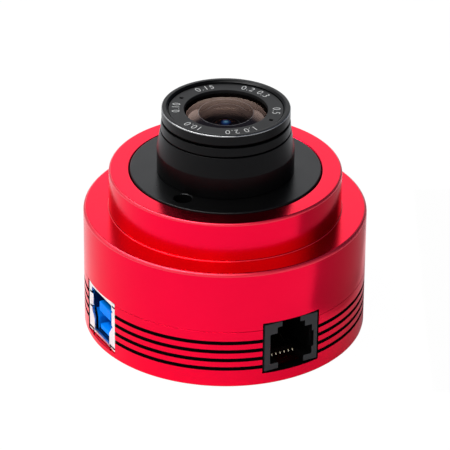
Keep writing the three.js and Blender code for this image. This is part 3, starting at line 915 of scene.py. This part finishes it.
def make_sensor():
    low, high = span("sensor_package")
    step_z, floor_z = high.z - 0.35, 24.1
    notches = []
    pitch = 0.92
    for k in range(PACKAGE_PADS):
        along = (k - (PACKAGE_PADS - 1) / 2) * pitch
        for side in (-1, 1):
            for x, y in ((along, side * high.y), (side * high.x, along)):
                notches.append(moved(rod(0.24, low.z - 1, high.z + 1, 12), x, y))
    tray = carved(
        block(low, high, 0.12),
        block((-5.2, -4.4, step_z), (5.2, 4.4, high.z + 1), 0.1),
        block((-4.6, -3.8, floor_z), (4.6, 3.8, high.z + 1)),
        merged(*notches),
    )
    piece = make_piece("sensor_tray", tray, CERAMIC, "sensor_package")
    edge = high.x - 0.02
    paint(piece, GOLD, lambda c, n: 0.1 < edge - max(abs(c.x), abs(c.y)) < 0.3 and abs(n.z) < 0.3)

    pads, wires = [], []
    die_low, die_high = span("sensor_die")
    for k in range(PACKAGE_PADS * 2):
        x = (k - PACKAGE_PADS + 0.5) * 0.36
        for side in (-1, 1):
            y = side * 4.1
            pads.append(block((x - 0.1, y - 0.18, step_z), (x + 0.1, y + 0.18, step_z + 0.02)))
            start = Vector((x * 0.9, side * (die_high.y - 0.15), die_high.z + 0.015))
            end = Vector((x, side * 4.0, step_z + 0.035))
            wires.append(bond_wire(start, end))
    make_piece("sensor_bonds", merged(*pads, *wires), GOLD)

    piece = make_piece("sensor_chip", block(die_low, die_high, 0.03), CHIP, "sensor_die")
    paint(piece, SILICON, lambda c, n: n.z > 0.9)

    low, high = span("sensor_cover_glass")
    make_piece("sensor_cover", block(low, high, 0.1), WINDOW_GLASS, "sensor_cover_glass")


def bond_wire(start, end, steps=8):
    """A fine wire that rises in an arc between two points."""
    rise = Vector((0, 0, 0.16))
    path = [start.lerp(end, k / steps) + rise * math.sin(math.pi * k / steps) for k in range(steps + 1)]
    return tube(path, 0.018, 5)


def tube(path, radius, sides):
    """A closed tube of one radius along a list of points."""
    maker = bmesh.new()
    rings = []
    spokes = [polar(radius, 360 * k / sides) for k in range(sides)]
    for i, point in enumerate(path):
        ahead = (path[min(i + 1, len(path) - 1)] - path[max(i - 1, 0)]).normalized()
        side = ahead.cross(Vector((0, 0, 1) if abs(ahead.z) < 0.9 else (1, 0, 0))).normalized()
        over = side.cross(ahead)
        rings.append([maker.verts.new(point + side * a + over * b) for a, b in spokes])
    for ring, after in zip(rings, rings[1:]):
        for k in range(sides):
            j = (k + 1) % sides
            maker.faces.new([ring[k], ring[j], after[j], after[k]])
    maker.faces.new(rings[0])
    maker.faces.new(rings[-1])
    bmesh.ops.recalc_face_normals(maker, faces=maker.faces)
    return maker


make_window()
make_sensor()


# --- USB socket ---
USB_HALF = usb_high.y
USB_TABS_Z = usb_low.z + 1.05  # the side flanges end here, above the corner tabs


def usb_outline(half, narrow, top, bottom, fillet=0.25):
    """The opening of a type B socket in (y, z): full width above, the narrow part below."""
    corners = [(half, top, fillet), (half, 7, fillet), (narrow, 5.2, fillet), (narrow, bottom, fillet)]
    return rounded(mirrored(corners), 4)


# Slits in the socket's front frame, as opposite (y, z) corners: round the two corner tabs, at an upper
# corner, above and below the spring arm, and two small locating notches.
USB_SLITS = [
    ((-USB_HALF - 1, USB_TABS_Z - 0.48), (-3.8, USB_TABS_Z)),
    ((3.8, USB_TABS_Z - 0.48), (USB_HALF + 1, USB_TABS_Z)),
    ((-4.25, 0), (-3.75, USB_TABS_Z)),
    ((3.75, 0), (4.25, USB_TABS_Z)),
    ((-USB_HALF - 1, 12.45), (-5.0, 12.9)),
    ((4.75, 11.0), (5.6, 11.5)),
    ((4.75, 7.5), (5.6, 7.95)),
    ((-5.2, 7.2), (-4.6, 7.7)),
    ((-5.2, 11.0), (-4.6, 11.5)),
]


def usb_slits(depth):
    return [block((usb_low.x - 1, *low), (depth, *high)) for low, high in USB_SLITS]


def in_usb_slit(point):
    """Whether a point lies on a wall of one of the slits, or of the pocket behind it."""
    return any(in_box(point.yz, low, high, 0.02) for low, high in USB_SLITS)


def make_usb_shell():
    sheet, face = 0.35, usb_low.x
    inset = Vector((sheet, sheet, sheet))
    shell = carved(
        block(usb_low, usb_high, 0.22, 3),
        block(usb_low + inset, usb_high + Vector((1, -sheet, -sheet)), 0.12),
        prism(usb_outline(4.8, 3.6, 12.7, 2.25), face - 1, face + 1, "X"),
        *usb_slits(face + 1.6),
    )
    arm = block((face + 0.05, 4.35, 8.0), (face + sheet, 5.6, 11.0), 0.12)
    wall_spring = block((face + 2.0, 5.42, 6.5), (face + 9, 5.72, 9.5), 0.1)
    piece = make_piece("usb_frame", merged(shell, arm, wall_spring), NICKEL, "usb_shell")
    # The walls of the slits in the frame are painted black: painted shade in the slits.
    paint(piece, GROOVE_PAINT_AND_SHADE, lambda c, n: c.x > face + 0.1 and abs(n.x) < 0.9 and in_usb_slit(c))


def make_usb_insulator():
    low, high = span("usb_insulator")
    edge, lip, cavity_back = 0.45, 0.55, usb_low.x + 11
    body = carved(
        block((low.x, low.y, usb_low.z + edge), (high.x - 0.5, high.y, usb_high.z - edge), 0.15),
        prism(usb_outline(4.65, 3.45, 12.75, 2.3, 0.3), low.x - 1, cavity_back, "X"),
        prism(usb_outline(4.66, 3.85, 12.76, 2.29), low.x - 1, low.x + lip, "X"),
        *usb_slits(usb_low.x + 3),
    )
    tongues = [
        block((usb_low.x + 0.8, -half, z0), (cavity_back + 0.5, half, z1), 0.16, 3)
        for half, z0, z1 in ((2.75, 7.4, 9.8), (2.2, 3.15, 4.35))
    ]
    back = block((high.x - 1, -5, 2.5), (high.x, 5, high.z), 0.2)
    foot = block((-27, -5, usb_high.z + 0.05), (high.x - 0.3, 5, high.z), 0.15)
    whole = merged(body, *tongues, back, foot)
    piece = make_piece("usb_core", whole, BLUE, "usb_insulator")

    def deep_in_socket(c, n):
        """The cavity's back wall, its roof, its floor and the upper part of its side walls, which get navy
        painted shade.
        """
        inside = in_box(c, (low.x + 0.1, -4.75, 2.2), (cavity_back + 0.1, 4.75, 12.8))
        on_side = abs(c.y) > 2.9 and c.z > 7.2
        return inside and (on_side or c.x > cavity_back - 0.1 or not 2.6 <= c.z <= 12.6)

    def in_shadow_gap(c, n):
        """The lip round the narrow part of the opening, and the walls of the slits, which get black painted
        shade.
        """
        on_lip = low.x < c.x < low.x + 0.5 and 2.2 < c.z < 7.5 and 3.4 < abs(c.y) < 4.8
        return on_lip or (c.x < usb_low.x + 3.1 and in_usb_slit(c))

    # Painted shade in the USB socket: navy on its deep faces, black on the lip and the slit walls.
    paint(piece, BLUE_PAINTED_SHADE, deep_in_socket)
    paint(piece, GROOVE_PAINT_AND_SHADE, in_shadow_gap)


def make_usb_contacts():
    for k in range(1, 10):
        node = f"usb_contact_{k}"
        low, high = span(node)
        low.x += 1.2
        strip = block(low, high, 0.05)
        crest, bump = (high.z, 0.05) if low.z > 9 else (low.z, -0.05)
        outline = [(low.x + x, crest + z) for x, z in ((0.5, 0), (1.1, bump), (1.5, bump), (2.4, 0))]
        ridge = prism(outline, low.y + 0.02, high.y - 0.02, "Y")
        make_piece(f"{node}_strip", merged(strip, ridge), GOLD, node)


make_usb_shell()
make_usb_insulator()
make_usb_contacts()


# --- guide-port jack ---
def make_jack_housing():
    low, high, face = jack_low, jack_high, jack_low.y
    front = face - 1
    mouth = mirrored([
        (-2.2, high.z + 1), (-2.2, 13.35, 0.1), (-3.35, 13.35, 0.2), (-3.35, 11.9, 0.15),
        (-5.1, 11.9, 0.25), (-5.1, 4.6, 0.25), (-3.1, 4.6, 0.15), (-3.1, low.z - 1),
    ])
    cavity = [(-5.1, 4.6, 0.25), (5.1, 4.6, 0.25), (5.1, 11.9, 0.25), (-5.1, 11.9, 0.25)]
    body = carved(
        block(low, high, 0.15),
        prism(rounded(mouth, 3), front, face + 2.5, "Y"),
        prism(rounded(cavity, 3), face + 2, face + 12.5, "Y"),
        block((-3.35, face + 2, 11), (3.35, face + 8, 13.35)),
        block((-3.1, face + 2, low.z - 1), (3.1, face + 5.2, 5)),
        block((4, front, 6.4), (5.55, face + 1.2, 10.3), 0.1),
    )
    piece = make_piece("jack_body", body, JACK_BLACK, "guide_jack_housing")
    # The walls inside the jack get the near-black painted shade.
    walls_low = Vector((low.x + 0.1, face + 0.3, low.z + 0.1))
    walls_high = high - Vector((0.1, 0.1, 0.1))
    paint(piece, JACK_PAINTED_SHADE, lambda c, n: in_box(c, walls_low, walls_high))


# The bend of a spring contact: how far behind its front, and height.
CONTACT_BEND = ((0.18, 4.05), (0.32, 4.4), (0.7, 4.66), (4.3, 6.44), (7.95, 8.24))


def make_jack_contacts():
    for k in range(1, 7):
        node = f"guide_jack_contact_{k}"
        low, high = span(node)
        corners = [Vector(((low.x + high.x) / 2, low.y + y, z)) for y, z in CONTACT_BEND]
        make_piece(f"{node}_wire", tube(smooth_path(corners, 4), 0.17, 12), WIRE, node)


def smooth_path(corners, steps):
    """Points of a smooth curve through the corners."""
    points = []
    for i in range(len(corners) - 1):
        before, here = corners[max(i - 1, 0)], corners[i]
        there, after = corners[i + 1], corners[min(i + 2, len(corners) - 1)]
        for k in range(steps):
            t = k / steps
            point = 2 * here + (there - before) * t
            point += (2 * before - 5 * here + 4 * there - after) * t * t
            point += (3 * here - before - 3 * there + after) * t**3
            points.append(point / 2)
    return points + [corners[-1]]


make_jack_housing()
make_jack_contacts()


# --- boards and chips ---
def make_board_parts():
    """Ceramic capacitors on the sensor board, round the sensor."""
    top = span("sensor_board")[1].z
    bodies, ends = [], []
    for k in range(18):
        radius, angle = (9.6, 20 * k) if k % 2 else (11.2, 20 * k + 4)
        x, y = polar(radius, angle)
        turn = math.radians(90 * (k % 4))
        bodies.append(moved(block((-0.5, -0.4, top + 0.02), (0.5, 0.4, top + 0.75), 0.05), x, y, turn=turn))
        for side in (-1, 1):
            inner, outer = sorted((side * 0.45, side * 0.8))
            ends.append(moved(block((inner, -0.42, top), (outer, 0.42, top + 0.78), 0.08), x, y, turn=turn))
    make_piece("board_capacitors", merged(*bodies), CAPACITOR)
    make_piece("board_capacitor_ends", merged(*ends), SOLDER)


CARRIED_MATERIALS = {
    "main_board": BOARD, "sensor_board": BOARD, "crystal_can": STEEL,
    "power_inductor": FERRITE, "board_plug": HEADER, "board_socket": HEADER,
}


def finish_carried_nodes():
    """CAD nodes whose own shape is right keep it and get a finished material."""
    for name, node in nodes.items():
        if node.hide_render:
            continue
        material = CARRIED_MATERIALS.get(name, STEEL if name.startswith("board_spacer") else CHIP)
        node.data.materials.clear()
        node.data.materials.append(material)


make_board_parts()
finish_carried_nodes()


# --- floor, light and background ---
FLOOR_WHITE = 0.88
SKY = 0.12
SKY_COLOR = (0.5, 0.65, 1.0, 1)
# Soft patches of light low in the sky: turn and rise of the middle, degrees to the edge, strength.
SKY_PATCHES = ((180, 15, 34, 1.2), (-145, 15, 50, 0.4), (-62, 15, 74, 0.78), (32, 15, 70, 0.68))
SKY_FULL_RISE = 33  # the patches are whole below this height, in degrees, and gone above the next
SKY_DARK_RISE = 42
# Softboxes: turn, rise, distance, width and height in metres, and power in watts.
SOFTBOXES = (
    (-20, 64, 0.9, 0.5, 0.12, 2.8),
    (-72, 60, 0.9, 0.5, 0.12, 3.6),
    (-125, 50, 0.9, 0.5, 0.1, 1.6),
)
# A grey card lies flat on the floor at the right, where only reflections can see it: painted shade on the
# floor there, which the object's right side mirrors as a dark band. Turn and distance of its middle, its
# width and its depth, in metres.
SHADE_CARD = (98, 0.098, 0.105, 0.092)


def make_sheet(name, width, depth, colors, scale):
    """A level matt sheet that isn't part of the object."""
    maker = bmesh.new()
    bmesh.ops.create_grid(maker, x_segments=2, y_segments=2, size=0.5)
    bmesh.ops.scale(maker, vec=(width, depth, 1), verts=maker.verts)
    mesh = bpy.data.meshes.new(name)
    maker.to_mesh(mesh)
    maker.free()
    material, shader = new_material(f"{name}_paint", roughness=0.9, specular_ior_level=0.0)
    vary(shader, colors, scale)
    mesh.materials.append(material)
    sheet = linked(name, mesh)
    return sheet, shader


def make_floor():
    """A white sweep. The camera sees it almost blank, and the object mirrors it with its real shading."""
    floor, shader = make_sheet("floor", 8, 8, (FLOOR_WHITE - 0.01, FLOOR_WHITE + 0.01), 3)
    tree = shader.id_data
    floor.location.z = -0.00005  # just clear of the object's foot
    blank = add_node(tree, "Emission", {"Color": (1, 1, 1, 1), "Strength": 1.02})
    path = add_node(tree, "LightPath")
    share = add_node(tree, "Math", {0: path.outputs["Is Camera Ray"], 1: 0.97}, operation="MULTIPLY")
    mix = add_node(tree, "MixShader", {0: share.outputs[0], 1: shader.outputs[0], 2: blank.outputs[0]})
    tree.links.new(mix.outputs[0], tree.nodes["Material Output"].inputs["Surface"])


def make_shade_card():
    turn, distance, width, depth = SHADE_CARD
    # The card is painted shade on the floor, seen only in reflections.
    card = make_sheet("card", width, depth, (0.34, 0.38), 20)[0]
    card.location = studio_direction(turn, 0) * distance + Vector((0, 0, 0.0004))
    card.rotation_euler.z = AZIMUTH
    card.visible_camera = False


def make_softbox(index, turn, rise, distance, width, height, power):
    data = bpy.data.lights.new(f"softbox_{index}", "AREA")
    data.shape = "RECTANGLE"
    data.size, data.size_y = width, height
    data.energy = power
    light = linked(f"softbox_{index}", data)
    light.visible_camera = False
    light.visible_transmission = False  # no speckle from images of the boxes deep in the glass
    towards = studio_direction(turn, rise)
    light.location = towards * distance
    light.rotation_euler = (-towards).to_track_quat("-Z", "Y").to_euler()


def smooth_step(tree, value, start, end, first, last):
    """Runs smoothly from first to last as the value goes from start to end."""
    settings = {"Value": value, "From Min": start, "From Max": end, "To Min": first, "To Max": last}
    return add_node(tree, "MapRange", settings, interpolation_type="SMOOTHSTEP").outputs["Result"]


def make_world():
    """A dim dome with soft bright patches. The camera itself sees plain white."""
    world = bpy.data.worlds.new("studio")
    bpy.context.scene.world = world
    world.use_nodes = True
    tree = world.node_tree
    where = add_node(tree, "TexCoord").outputs["Generated"]
    height = add_node(tree, "SeparateXYZ", {"Vector": where}).outputs["Z"]
    full, dark = (math.sin(math.radians(rise)) for rise in (SKY_FULL_RISE, SKY_DARK_RISE))
    low_sky = smooth_step(tree, height, full, dark, 1.0, 0.0)
    total = 0.0
    for turn, rise, spread, strength in SKY_PATCHES:
        middle = studio_direction(turn, rise)
        along = add_node(tree, "VectorMath", {0: where, 1: middle}, operation="DOT_PRODUCT")
        patch = smooth_step(tree, along.outputs["Value"], math.cos(math.radians(spread)), 1.0, 0.0, strength)
        sum_node = add_node(tree, "Math", {0: patch, 1: low_sky, 2: total}, operation="MULTIPLY_ADD")
        total = sum_node.outputs[0]
    patches = tree.nodes["Background"]
    patches.inputs["Color"].default_value = (1, 1, 1, 1)
    tree.links.new(total, patches.inputs["Strength"])
    dome = add_node(tree, "Background", {"Color": SKY_COLOR, "Strength": SKY})
    light = add_node(tree, "AddShader", {0: patches.outputs[0], 1: dome.outputs[0]})
    seen = add_node(tree, "Background", {"Color": (1, 1, 1, 1), "Strength": 1.0})
    path = add_node(tree, "LightPath")
    shaders = {0: path.outputs["Is Camera Ray"], 1: light.outputs[0], 2: seen.outputs[0]}
    mix = add_node(tree, "MixShader", shaders)
    tree.links.new(mix.outputs[0], tree.nodes["World Output"].inputs["Surface"])


make_floor()
make_shade_card()
for index, softbox in enumerate(SOFTBOXES):
    make_softbox(index, *softbox)
make_world()
bpy.context.scene.view_settings.view_transform = "Standard"
